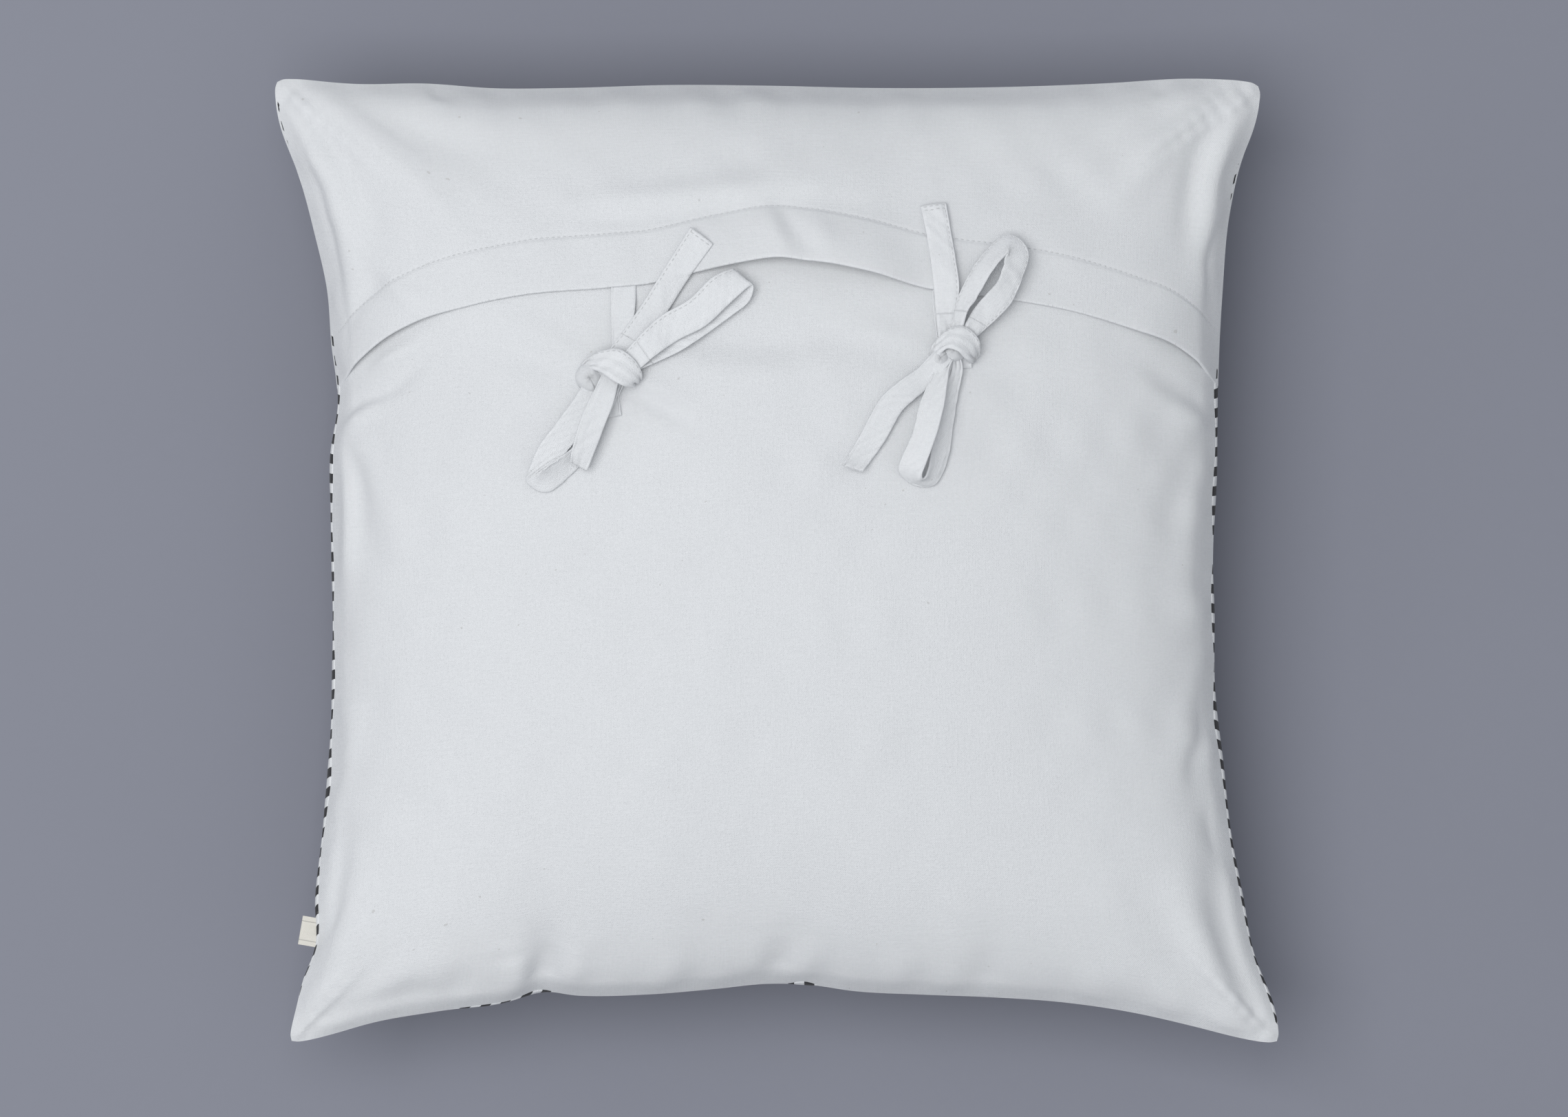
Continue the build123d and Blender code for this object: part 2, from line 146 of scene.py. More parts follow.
PANEL_FOLDS = [
    ([(-86, 99.7), (-74, 93), (-60, 86), (-50, 80)], 5, -2.6),
    ([(-80, 106), (-64, 97), (-48, 90)], 6, 1.6),
    ([(-117, 107.7), (-142, 118), (-168, 128)], 9, -1.8),
    ([(-112, 118), (-138, 130), (-160, 140)], 9, 1.6),
    ([(-116, 96), (-140, 98), (-170, 104)], 12, 0.9),
    ([(-64, 132), (-20, 126), (20, 130), (60, 136)], 12, -2.8),
    ([(-70, 118), (-30, 108), (20, 110), (60, 120)], 14, 1.8),
    ([(112, 112), (140, 104), (170, 102)], 11, -1.0),
    ([(114, 122), (150, 122), (190, 122)], 12, 1.0),
    ([(86, 124), (60, 132), (36, 136)], 8, 1.2),
    ([(92, 106), (70, 118), (48, 120)], 8, -1.2),
    ([(-252, 88), (-238, 96), (-222, 104), (-208, 118)], 5, -3.4),
    ([(-256, 76), (-244, 86), (-232, 94)], 5, 2.6),
    ([(-236, 112), (-224, 119), (-206, 128)], 4, 2.4),
    ([(-257, 62), (-252, 40), (-252, 10), (-253, -20)], 5, 2.4),
    ([(-250, 66), (-243, 40), (-243, 8)], 6, -2.0),
    ([(-240, 60), (-225, 30), (-222, 0)], 10, 1.0),
    ([(252, 92), (240, 98), (226, 106), (212, 116)], 6, -2.4),
    ([(254, 78), (242, 84), (228, 92)], 6, 1.8),
    ([(250, 60), (242, 30), (240, 0), (243, -30)], 8, 1.4),
    ([(244, 70), (232, 40), (228, 6)], 9, -1.1),
    ([(246, -60), (238, -90), (236, -125)], 9, 1.2),
    ([(252, -92), (244, -116), (246, -140)], 6, -1.6),
    ([(288, -272), (272, -240), (262, -205), (258, -170)], 10, -3.6),
    ([(276, -274), (256, -240), (242, -205), (235, -165)], 11, 3.2),
    ([(262, -268), (236, -236), (218, -200)], 11, -2.0),
    ([(278, -236), (270, -206), (264, -178)], 6, 2.4),
    ([(268, -180), (258, -160), (250, -140)], 6, -2.0),
    ([(-282, -272), (-262, -245), (-250, -215), (-244, -180)], 10, 2.8),
    ([(-272, -274), (-246, -252), (-228, -228)], 9, -2.0),
    ([(-274, -236), (-264, -210), (-256, -180), (-252, -150)], 6, -2.4),
    ([(-258, -140), (-250, -110), (-250, -80)], 7, 1.4),
    ([(-250, -258), (-215, -240), (-180, -230)], 12, 1.4),
    ([(-262, -268), (-225, -256), (-190, -250)], 7, -1.4),
    ([(-140, -254), (-137, -240), (-132, -222)], 7, -3.0),
    ([(-152, -256), (-152, -238), (-150, -220)], 8, 1.8),
    ([(-124, -254), (-120, -240), (-116, -224)], 8, 1.8),
    ([(0, -250), (2, -236), (4, -218)], 8, -2.4),
    ([(-14, -250), (-14, -236), (-12, -216)], 9, 1.4),
    ([(16, -250), (18, -236), (22, -218)], 9, 1.2),
    ([(120, -256), (122, -240), (126, -222)], 10, -1.4),
    ([(236, -262), (205, -244), (175, -236)], 12, 1.2),
    ([(-190, -262), (-186, -248), (-180, -236)], 9, -1.2),
    ([(-60, -254), (-60, -240), (-58, -226)], 10, 0.9),
    ([(70, -253), (72, -240), (76, -226)], 10, 0.8),
]

# Bow straps, in millimetres: rows across the strap, each (x, y, height over the cloth) of its left
# edge and then of its right edge
TIES = {
    "left_flap_tie": [(-96, 168, 0.7, -81.4, 168, 0.7), (-96, 159, 0.9, -81.4, 159, 0.9),
        (-96, 149, 2, -81.6, 149, 2.4), (-95.6, 136, 3, -83, 136, 3.4), (-95, 123, 4, -86, 121, 4),
        (-95, 114, 4, -88, 112, 4)],
    "left_panel_tie": [(-100, 104, 3, -86, 106, 3), (-99, 95, 1.4, -91, 96, 1.4),
        (-98.6, 90, 0.9, -90.6, 91, 0.9), (-98.2, 83, 0.8, -89.6, 84.4, 0.8)],
    "left_tail_upper": [(-101, 113, 4, -90, 109, 4), (-97.4, 121.3, 4, -86, 117, 4),
        (-89.5, 132, 4.2, -78, 125, 4.2), (-78, 148.5, 3.6, -66.2, 139.4, 3.6),
        (-64, 171, 2.6, -52, 162, 2.6), (-50, 193.5, 2.6, -36.8, 183.6, 2.2)],
    "left_loop_upper": [(-98, 110, 6, -88, 104, 6), (-87.5, 121, 8, -79, 111, 7.5),
        (-78, 131.5, 10, -69.5, 119, 10), (-66.7, 141.8, 9, -57, 127.6, 8),
        (-50.8, 151, 10, -41, 136, 8.6), (-38, 163.5, 10, -27.4, 148.6, 9.6),
        (-28.5, 168, 8, -15.5, 159, 9.6), (-25.5, 168.5, 5.6, -13.6, 156.5, 7.4),
        (-29, 163, 3.2, -17, 149, 5.5), (-39, 154, 2.6, -26, 142, 5), (-52, 144, 2.6, -39.4, 132.2, 5),
        (-67, 133, 2.8, -56.5, 121, 5), (-84, 120, 3.2, -77, 111.5, 4.6), (-98, 110, 4, -90, 104, 4)],
    "left_loop_lower": [(-104, 114, 5, -96, 110, 5), (-111.5, 103, 6, -103, 99, 6),
        (-115.6, 96, 7, -104, 91, 6.5), (-127, 80, 8.5, -112.5, 75, 7), (-137, 66.7, 9.5, -120.5, 64, 7.5),
        (-143, 53, 8.5, -127.5, 57.5, 10), (-144.6, 46.5, 4.5, -134, 53, 12.5),
        (-139, 41.5, 1.5, -131, 55.5, 12.5), (-131, 40.5, 1, -125.5, 60, 10),
        (-121, 48, 1.4, -118.5, 65, 6.5), (-108, 62, 1.8, -112.5, 74, 4), (-98, 82, 2.4, -106, 90, 3),
        (-92, 95, 3.5, -102, 100, 3.5), (-90, 106, 4, -98, 109, 4)],
    "left_tail_lower": [(-99, 116, 7, -89, 111, 7), (-101.4, 107, 9, -91.5, 102, 9),
        (-106, 97, 11, -94, 91.5, 10), (-111, 86.5, 13, -98, 81, 10.5),
        (-115.4, 73.5, 13.5, -102.4, 69.4, 10), (-118.4, 62, 12, -107, 58, 8.5),
        (-118.6, 57.6, 9.5, -109.6, 52.4, 6.5)],
    "right_flap_tie": [(89.6, 168, 0.7, 104.4, 168, 0.7), (89.6, 158, 0.9, 104.4, 158, 0.9),
        (89.8, 148, 1.6, 104, 148, 1.6), (91, 137, 2.4, 102, 137, 2.4), (92.4, 127, 3, 101, 127, 3),
        (95, 118, 3, 102, 118, 3)],
    "right_panel_tie": [(96, 127, 3, 110, 127, 3), (97, 120, 1.6, 111, 120, 1.6),
        (99, 115, 1, 112, 116, 1), (101, 111.4, 0.8, 112.4, 112, 0.8)],
    "right_tail_upper": [(96, 119, 5, 104, 120, 5), (92.8, 130, 5.4, 100.6, 131, 5.4),
        (91.8, 141, 5, 102.8, 141.6, 5), (90.4, 157, 4.4, 105.2, 157.6, 4.4),
        (88.8, 173, 3, 103.4, 174, 3), (86.4, 189, 2.4, 100.8, 190, 2.4), (83, 206, 2.8, 98, 208, 2.4)],
    "right_loop_upper": [(98, 124, 6, 104, 122, 6), (99.5, 134.5, 6, 106.8, 133, 9),
        (102, 145, 6, 109.6, 144, 13), (105.6, 155.6, 6, 115.6, 153, 13),
        (114, 171.4, 6.5, 124.6, 168.4, 14), (125, 184.4, 6.5, 131.4, 176.4, 14.5),
        (133, 189.4, 6, 133, 178, 15), (141, 186, 6.5, 131.6, 175.4, 15),
        (145.6, 177.6, 8, 130, 169.6, 14), (142, 165, 8.4, 127, 161.6, 12.4),
        (136, 150.7, 8.6, 120.6, 154.4, 10.6), (127.5, 141, 8, 113.6, 146.4, 9),
        (117, 131.5, 7.5, 108.5, 137.5, 9), (108, 123, 6, 102.5, 126, 6)],
    "right_loop_lower": [(96, 122, 7, 103, 121, 7), (91, 112, 8, 99.5, 112, 8.5),
        (87.6, 104, 9, 98.2, 104.5, 10.5), (82, 91, 11, 96, 90, 13.5), (77.8, 74, 12, 92, 74.5, 15),
        (71.6, 60, 10, 86.4, 58.8, 15), (70, 52.5, 6, 83.6, 51.6, 13.5), (76, 46, 2, 83.5, 47.5, 11),
        (86, 43, 1.4, 86, 50, 9.5), (93.5, 47.5, 1.6, 87.4, 56, 8.4), (98.8, 61, 2, 89, 67, 7.4),
        (101.8, 81, 2.4, 91, 84, 6.4), (105, 100, 3, 95.6, 101, 5.8), (107, 112, 4, 99.6, 113, 5.6),
        (104, 121, 4, 98, 121, 5)],
    "right_tail_lower": [(97, 127, 7, 104, 120, 7), (88.2, 119, 9.5, 96.5, 111, 9),
        (80.5, 111, 7, 86.5, 100, 5), (70.5, 104, 6, 79, 93.4, 4.4), (59, 93.4, 4.4, 71.4, 86, 3.6),
        (48.4, 74, 3, 62.4, 70, 2.6), (41.4, 62, 4.4, 54.6, 59, 2.8), (37.4, 55.6, 8, 49.2, 52, 5.6)],
}
# The bands round the knots, in rows like the straps'
KNOT_BANDS = {
    "left_knot": [(-114, 111, 0.6, -110, 106, 0.6), (-110.5, 116.5, 5.5, -108, 110.5, 8),
        (-101.5, 121, 10.5, -102, 109.4, 13.5), (-91.6, 122.6, 11.5, -96, 105.4, 15.5),
        (-83, 117.6, 11, -91.6, 102.6, 14.5), (-78.4, 110.4, 8, -86.6, 100.8, 11),
        (-78, 107, 3, -84, 101.4, 4.6), (-81, 108, 0.8, -86, 104, 1)],
    "right_knot": [(88, 120, 1.6, 91, 115, 2), (90.5, 126.5, 7, 93.5, 119, 10),
        (96.5, 132.6, 10.5, 97.6, 122.6, 14), (105, 136, 11, 102, 122, 16),
        (112, 133, 10.5, 105.6, 119.6, 15), (116.4, 127, 8.5, 108.4, 117, 12),
        (116.4, 121, 4, 111, 115.4, 6), (113, 118, 1, 110.4, 115.4, 1.4)],
}
# Rounded cloth inside each knot, in millimetres: (x, y, half length, half width, turn, height)
KNOT_LUMPS = {
    "left_knot": [(-96, 109.5, 11, 6.5, -38, 9), (-107.6, 106, 9, 8.4, -60, 9.6), (-86, 107, 5, 4.6, 20, 6)],
    "right_knot": [(102, 123, 9, 7.6, 30, 10), (94, 117.6, 6, 6, 40, 9.4), (111.5, 119, 3.4, 4.6, 75, 5)],
}
# Where each strap is top-stitched: along its left or right edge, and rows across its end
TOP_STITCHED = {
    "left_tail_upper": ("left", 1), "left_loop_upper": ("left", 0), "left_tail_lower": ("left", 1),
    "left_loop_lower": ("right", 0), "left_flap_tie": ("left", 0), "left_panel_tie": ("right", 1),
    "right_tail_upper": ("right", 2), "right_loop_upper": ("left", 0), "right_tail_lower": ("left", 1),
    "right_loop_lower": ("left", 0), "right_flap_tie": ("left", 0), "right_panel_tie": ("right", 1),
}


# ---- Small helpers for shapes ----
def smooth_curve(points, at):
    """Values of a smooth curve through (place, value) points."""
    places = np.array([p[0] for p in points], float)
    values = np.array([p[1] for p in points], float)
    slopes = np.gradient(values, places)
    i = np.clip(np.searchsorted(places, at) - 1, 0, len(places) - 2)
    gap = places[i + 1] - places[i]
    t = (at - places[i]) / gap
    return ((2 * t**3 - 3 * t**2 + 1) * values[i] + (t**3 - 2 * t**2 + t) * gap * slopes[i]
            + (3 * t**2 - 2 * t**3) * values[i + 1] + (t**3 - t**2) * gap * slopes[i + 1])


def smooth_step(low, high, x):
    """0 below low, 1 above high, and smooth between."""
    t = np.clip((np.asarray(x, float) - low) / (high - low), 0, 1)
    return t * t * (3 - 2 * t)


def bell(x, middle, width, power=2):
    """1 at the middle, and fading to 0 on both sides."""
    return np.exp(-(((x - middle) / width) ** power))


def cubic_weights(t):
    """Weights of four neighbours for a smooth curve between the middle two."""
    return (0.5 * (-t + 2 * t**2 - t**3), 0.5 * (2 - 5 * t**2 + 3 * t**3),
            0.5 * (t + 4 * t**2 - 3 * t**3), 0.5 * (t**3 - t**2))


def carried_on(rows):
    """Rows with one more at each end, carried straight on."""
    return np.concatenate([2 * rows[:1] - rows[1:2], rows, 2 * rows[-1:] - rows[-2:-1]], 0)


def smooth_rows(rows, count):
    """Rows of points resampled to a smooth run of this many rows."""
    rows = np.asarray(rows, float)
    edge = carried_on(rows)
    at = np.linspace(0, len(rows) - 1, count)
    i = np.minimum(at.astype(int), len(rows) - 2)
    weights = cubic_weights(at - i)
    shape = (-1,) + (1,) * (rows.ndim - 1)
    return sum(weights[m].reshape(shape) * edge[i + m] for m in range(4))


def travel(line):
    """Distance travelled along a line of points."""
    return np.concatenate([[0], np.cumsum(np.linalg.norm(np.diff(line, axis=0), axis=1))])


def even_rows(rows, count):
    """Rows of point pairs resampled to a smooth run with even spacing."""
    fine = smooth_rows(rows, 30 * len(rows))
    travelled = travel(fine.mean(axis=1))
    at = np.interp(np.linspace(0, travelled[-1], count), travelled, np.arange(len(fine)))
    i = np.minimum(at.astype(int), len(fine) - 2)
    share = (at - i)[:, None, None]
    return fine[i] * (1 - share) + fine[i + 1] * share


def sample_grid(grid, u, v):
    """Smooth position on a carried-on grid of points at (u, v), each from -1 to 1."""
    rows, columns = grid.shape[0] - 3, grid.shape[1] - 3
    a, b = (np.clip(u, -1, 1) + 1) / 2 * rows, (np.clip(v, -1, 1) + 1) / 2 * columns
    i, j = np.minimum(a.astype(int), rows - 1), np.minimum(b.astype(int), columns - 1)
    across, along = cubic_weights(a - i), cubic_weights(b - j)
    return sum((across[m] * along[n])[..., None] * grid[i + m, j + n] for m in range(4) for n in range(4))


def unit(vectors):
    return vectors / np.maximum(np.linalg.norm(vectors, axis=-1, keepdims=True), 1e-12)


def grid_normals(points):
    """Unit normals of a grid of points."""
    return unit(np.cross(np.gradient(points, axis=0), np.gradient(points, axis=1)))


def wavy(x, seed, lowest=1.0, highest=6.0, count=6):
    """A smooth irregular wave between about -1 and 1, the same for the same seed."""
    random = np.random.default_rng(seed)
    total = 0
    for _ in range(count):
        total = total + np.sin(x * random.uniform(lowest, highest) + random.uniform(0, 2 * math.pi))
    return total / math.sqrt(count)


def fold_heights(points, folds):
    """How far the folds lift each plan point, in metres."""
    plan = points[..., :2] / MM
    height = np.zeros(plan.shape[:-1])
    for line, width, lift in folds:
        line = smooth_rows(np.array(line, float), 3 * len(line))
        nearest = np.full(height.shape, 1e9)
        share = np.zeros(height.shape)
        for k in range(len(line) - 1):
            run = line[k + 1] - line[k]
            t = np.clip(((plan - line[k]) @ run) / (run @ run), 0, 1)
            away = np.linalg.norm(plan - line[k] - t[..., None] * run, axis=-1)
            closer = away < nearest
            nearest = np.where(closer, away, nearest)
            share = np.where(closer, (k + t) / (len(line) - 1), share)
        fade = np.sin(math.pi * np.clip(0.12 + 0.76 * share, 0, 1)) ** 1.3
        height += lift * MM * fade * bell(nearest, 0, width * (0.75 + 0.5 * share))
    return height


def grid_faces(rows, columns, start=0, ring=False):
    """Four-sided faces of a grid of rows by columns points. A ring joins the last column to the first."""
    last = columns if ring else columns - 1
    i, j = np.meshgrid(np.arange(rows - 1), np.arange(last), indexing="ij")
    i, j = i.ravel(), j.ravel()
    after = (j + 1) % columns
    return start + np.stack([i * columns + j, (i + 1) * columns + j, (i + 1) * columns + after,
                             i * columns + after], 1)


def piece(name, parts, material=None):
    """One mesh object from parts, each (points, faces, places on the flat cloth)."""
    points, faces, cloth = [], [], []
    start = 0
    for part_points, part_faces, part_cloth in parts:
        part_points = np.asarray(part_points, float).reshape(-1, 3)
        points.append(part_points)
        faces.extend([tuple(int(i) + start for i in face) for face in part_faces])
        cloth.append(np.asarray(part_cloth, float).reshape(-1, 3))
        start += len(part_points)
    mesh = bpy.data.meshes.new(name)
    mesh.from_pydata(np.concatenate(points).tolist(), [], faces)
    mesh.polygons.foreach_set("use_smooth", [len(face) < 5 for face in faces])
    flat = mesh.attributes.new("cloth", "FLOAT_VECTOR", "POINT")
    flat.data.foreach_set("vector", np.concatenate(cloth).astype(np.float32).ravel())
    if material:
        mesh.materials.append(material)
    mesh.update()
    made = bpy.data.objects.new(name, mesh)
    bpy.context.scene.collection.objects.link(made)
    return made


# ---- Materials ----
class Value:
    """A value in a material. Arithmetic on it adds the Math nodes."""

    def __init__(self, finish, socket):
        self.finish, self.socket = finish, socket

    def maths(self, operation, first, second=None):
        return self.finish.node("ShaderNodeMath", {"operation": operation}, {0: first, 1: second})

    def __add__(self, other):
        return self.maths("ADD", self, other)

    def __sub__(self, other):
        return self.maths("SUBTRACT", self, other)

    def __rsub__(self, other):
        return self.maths("SUBTRACT", other, self)

    def __mul__(self, other):
        return self.maths("MULTIPLY", self, other)

    def __truediv__(self, other):
        return self.maths("DIVIDE", self, other)

    def __gt__(self, other):
        return self.maths("GREATER_THAN", self, other)

    def __abs__(self):
        return self.maths("ABSOLUTE", self)

    def sine(self):
        return self.maths("SINE", self)

    __radd__ = __add__
    __rmul__ = __mul__


class Finish:
    """One material in the making."""

    def __init__(self, name):
        self.material = bpy.data.materials.new(name)
        self.material.use_nodes = True
        self.tree = self.material.node_tree
        self.shader = next(n for n in self.tree.nodes if n.type == "BSDF_PRINCIPLED")

    def node(self, kind, settings=None, sockets=None, output=0):
        made = self.tree.nodes.new(kind)
        for name, setting in (settings or {}).items():
            setattr(made, name, setting)
        for name, value in (sockets or {}).items():
            if isinstance(value, Value):
                self.tree.links.new(value.socket, made.inputs[name])
            elif value is not None:
                made.inputs[name].default_value = value
        return Value(self, made.outputs[output])

    def noise(self, where, scale, detail=3.0, roughness=0.5):
        return self.node("ShaderNodeTexNoise", {}, {"Vector": where, "Scale": scale, "Detail": detail,
                                                    "Roughness": roughness})

    def stretched(self, where, stretch):
        return self.node("ShaderNodeMapping", {}, {"Vector": where, "Scale": stretch})

    def mix(self, share, first, second):
        return self.node("ShaderNodeMix", {"data_type": "RGBA"}, {0: share, 6: first, 7: second}, 2)

    def cloth_place(self):
        return self.node("ShaderNodeAttribute", {"attribute_name": "cloth"}, {}, 1)

    def object_place(self):
        return self.node("ShaderNodeTexCoord", {}, {}, 3)

    def parts(self, vector):
        split = self.node("ShaderNodeSeparateXYZ", {}, {0: vector})
        return [Value(self, output) for output in split.socket.node.outputs]

    def bump(self, height, distance, strength=1.0, under=None):
        return self.node("ShaderNodeBump", {}, {"Height": height, "Distance": distance, "Strength": strength,
                                                "Normal": under})

    def set(self, name, value):
        if isinstance(value, Value):
            self.tree.links.new(value.socket, self.shader.inputs[name])
        else:
            self.shader.inputs[name].default_value = value


def grey(level, blue=1.015):
    """A nearly neutral colour."""
    return (level * 0.985, level, level * blue, 1.0)


def woven_cotton(name, base, pitch=0.56 * MM, print_pitch=None, sheen=0.12):
    """Matt cotton: plain weave, uneven yarns, faint mottling and a few specks."""
    finish = Finish(name)
    place = finish.cloth_place()
    x, y, _ = finish.parts(place)
    turn = math.pi / pitch
    weave = (x * turn).sine() * (y * turn).sine()
    warp = finish.noise(finish.stretched(place, (1500, 45, 1)), 1.0, 2.0)
    weft = finish.noise(finish.stretched(place, (45, 1500, 1)), 1.0, 2.0)
    yarns = (warp + weft) * 0.5
    mottle = finish.noise(place, 12.0, 4.0, 0.6)
    fuzz = finish.noise(place, 1500.0, 3.0, 0.7)
    grain = finish.noise(place, 520.0, 2.0, 0.6)
    specks = finish.noise(place, 190.0, 1.0, 0.4) > 0.795
    uneven_tone = yarns * 0.45 + mottle * 0.2 + grain * 0.35
    toned = finish.mix(uneven_tone, grey(base * 0.84, 1.03), grey(base * 1.12))
    if print_pitch:
        wobble = (finish.noise(place, 420.0, 2.0) - 0.5) * 0.12
        half_turn = math.pi / (print_pitch / 2)
        check = (x * half_turn).sine() * (y * half_turn).sine() + wobble
        ink = finish.mix(yarns, (0.012, 0.012, 0.014, 1), (0.05, 0.05, 0.055, 1))
        toned = finish.mix(check > 0.0, toned, ink)
    finish.set("Base Color", finish.mix(specks * 0.3, toned, (0.34, 0.32, 0.29, 1)))
    finish.set("Roughness", 0.8 + 0.16 * fuzz)
    finish.set("Sheen Weight", sheen)
    finish.set("Sheen Roughness", 0.5)
    finish.set("Specular IOR Level", 0.25)
    uneven = finish.bump(yarns + 0.5 * fuzz + 0.9 * grain, 0.34 * MM)
    finish.set("Normal", finish.bump(weave, 0.1 * MM, 0.8, uneven))
    return finish.material


def sewing_thread(name, base):
    """Spun thread: a tight twist and a slight gloss."""
    finish = Finish(name)
    place = finish.object_place()
    twist = finish.node("ShaderNodeTexWave", {"bands_direction": "DIAGONAL"},
                        {"Vector": place, "Scale": 900.0, "Distortion": 1.5}, 1)
    shade = finish.noise(place, 300.0)
    finish.set("Base Color", finish.mix(shade, grey(base * 0.85), grey(base)))
    finish.set("Roughness", 0.55 + 0.2 * shade)
    finish.set("Sheen Weight", 0.2)
    finish.set("Normal", finish.bump(twist, 0.05 * MM))
    return finish.material


def label_cloth(name):
    """Unbleached twill tape with a plain woven line near each end."""
    finish = Finish(name)
    place = finish.cloth_place()
    x, y, _ = finish.parts(place)
    turn = math.pi / (0.45 * MM)
    twill = (x * turn + y * turn).sine()
    tone = finish.noise(place, 300.0, 3.0)
    cream = finish.mix(tone, (0.70, 0.675, 0.61, 1), (0.80, 0.775, 0.71, 1))
    off_line = abs(abs(x) - 5.6 * MM) > 0.3 * MM
    finish.set("Base Color", finish.mix((1 - off_line) * 0.5, cream, (0.3, 0.29, 0.27, 1)))
    finish.set("Roughness", 0.78 + 0.12 * tone)
    finish.set("Normal", finish.bump(twill, 0.08 * MM))
    return finish.material


def floor_paint(name):
    """Plain painted floor with the faintest unevenness."""
    finish = Finish(name)
    place = finish.object_place()
    cloud = finish.noise(place, 1.7, 3.0, 0.5)
    grain = finish.noise(place, 90.0, 3.0, 0.6)
    finish.set("Base Color", finish.mix(cloud * 0.7 + grain * 0.3, (0.205, 0.213, 0.256, 1),
                                        (0.243, 0.252, 0.300, 1)))
    finish.set("Roughness", 0.7 + 0.1 * grain)
    finish.set("Normal", finish.bump(grain, 0.2 * MM, 0.4))
    return finish.material


white_cotton = woven_cotton("white_cotton", 0.76)
tie_cotton = woven_cotton("tie_cotton", 0.79, 0.5 * MM)
printed_cotton = woven_cotton("printed_cotton", 0.76, print_pitch=12.2 * MM)
pad_cotton = woven_cotton("pad_case_cotton", 0.72, 0.35 * MM, sheen=0.3)
# The thread is darker than the cloth as painted shade: its colour stands in for the shadows along the
# stitching.
thread = sewing_thread("sewing_thread", 0.66)
tape = label_cloth("label_tape")
paint = floor_paint("floor_paint")


# ---- Filled cover: two square panels sewn edge to edge and blown up by cloth simulation ----
def cover_plan(u, v):
    """Plan position on the filled cover of the point (u, v) of the flat square."""
    blunt = 1 - 0.011 * np.abs(u * v) ** 36
    u, v = u * blunt, v * blunt
    x = (1 - u) / 2 * smooth_curve(LEFT_SIDE, v) + (1 + u) / 2 * smooth_curve(RIGHT_SIDE, v)
    y = (1 - v) / 2 * smooth_curve(NEAR_SIDE, u) + (1 + v) / 2 * smooth_curve(FAR_SIDE, u)
    return x * MM, y * MM


def blown_up_cover(count=96, moments=26):
    """Grids of points of the back and the front, as the pressure of the filling leaves them. count is the
    number of cells along a side, and moments how long the cloth settles."""
    step = np.linspace(-1, 1, count + 1)
    u, v = np.meshgrid(step, step, indexing="ij")
    x, y = cover_plan(u, v)
    fullness = np.sqrt(np.clip((1 - u**2) * (1 - v**2), 0, 1))
    sewn = ((np.abs(u) > 0.9999) | (np.abs(v) > 0.9999)).ravel()
    start = 80 * MM * fullness
    back_points = np.stack([x, y, start], -1).reshape(-1, 3)
    front_points = np.stack([x, y, -start], -1).reshape(-1, 3)
    flat = np.stack([u * flat_half, v * flat_half * 0.975, 0 * u], -1).reshape(-1, 3)
    front_index = np.arange(len(back_points))
    front_index[~sewn] = len(back_points) + np.arange((~sewn).sum())
    points = np.concatenate([back_points, front_points[~sewn]])
    flat = np.concatenate([flat, flat[~sewn]])
    faces = grid_faces(count + 1, count + 1)
    faces = np.concatenate([faces, front_index[faces[:, ::-1]]])
    cover = piece("cover_pattern", [(points, faces, flat)])
    cover.shape_key_add(name="Filled")
    flat_key = cover.shape_key_add(name="Flat")
    flat_key.data.foreach_set("co", flat.astype(np.float32).ravel())
    flat_key.value = 0
    seam_group = cover.vertex_groups.new(name="seam")
    seam_group.add(np.nonzero(sewn)[0].tolist(), 1.0, "REPLACE")
    cloth = cover.modifiers.new("Cloth", "CLOTH")
    settings = cloth.settings
    settings.rest_shape_key = flat_key
    settings.vertex_group_mass = "seam"
    settings.quality = 5
    settings.mass = 0.3
    settings.tension_stiffness, settings.compression_stiffness = 40, 10
    settings.shear_stiffness, settings.bending_stiffness = 8, 0.02
    settings.tension_damping = settings.compression_damping = settings.shear_damping = 5
    settings.bending_damping = 0.5
    settings.use_pressure = True
    settings.uniform_pressure_force = 12
    settings.effector_weights.gravity = 0
    cloth.collision_settings.use_collision = False
    for moment in range(1, moments + 1):
        bpy.context.scene.frame_set(moment)
    settled = cover.evaluated_get(bpy.context.evaluated_depsgraph_get()).data
    blown = np.empty(len(points) * 3, np.float32)
    settled.vertices.foreach_get("co", blown)
    blown = blown.reshape(-1, 3).astype(float)
    bpy.data.objects.remove(cover)
    bpy.context.scene.frame_set(1)
    back = blown[:len(back_points)].reshape(count + 1, count + 1, 3).copy()
    front = blown[front_index].reshape(count + 1, count + 1, 3).copy()
    back[..., 2] = seam_height + back[..., 2] * crown_height / back[..., 2].max()
    front[..., 2] = seam_height - front[..., 2] * crown_height / front[..., 2].min()
    return back, front


def pressed_flat(points):
    """The front of the cover with its lowest part pressed flat on the floor."""
    soft = 5 * MM
    height = points[..., 2]
    pressed = (height + np.sqrt(height**2 + soft**2)) / 2
    points = points.copy()
    points[..., 2] = np.maximum(pressed - pressed.min(), 0)
    return points


def ready_to_sample(grid):
    """The grid carried on past all four sides."""
    return np.swapaxes(carried_on(np.swapaxes(carried_on(grid), 0, 1)), 0, 1)


back_grid, front_grid = blown_up_cover()
back_grid, front_grid = ready_to_sample(back_grid), ready_to_sample(pressed_flat(front_grid))

# Lines of the fine grid, closer together towards the seams
spread = np.linspace(-1, 1, 241)
spread = 0.6 * spread + 0.4 * np.sin(spread * math.pi / 2)


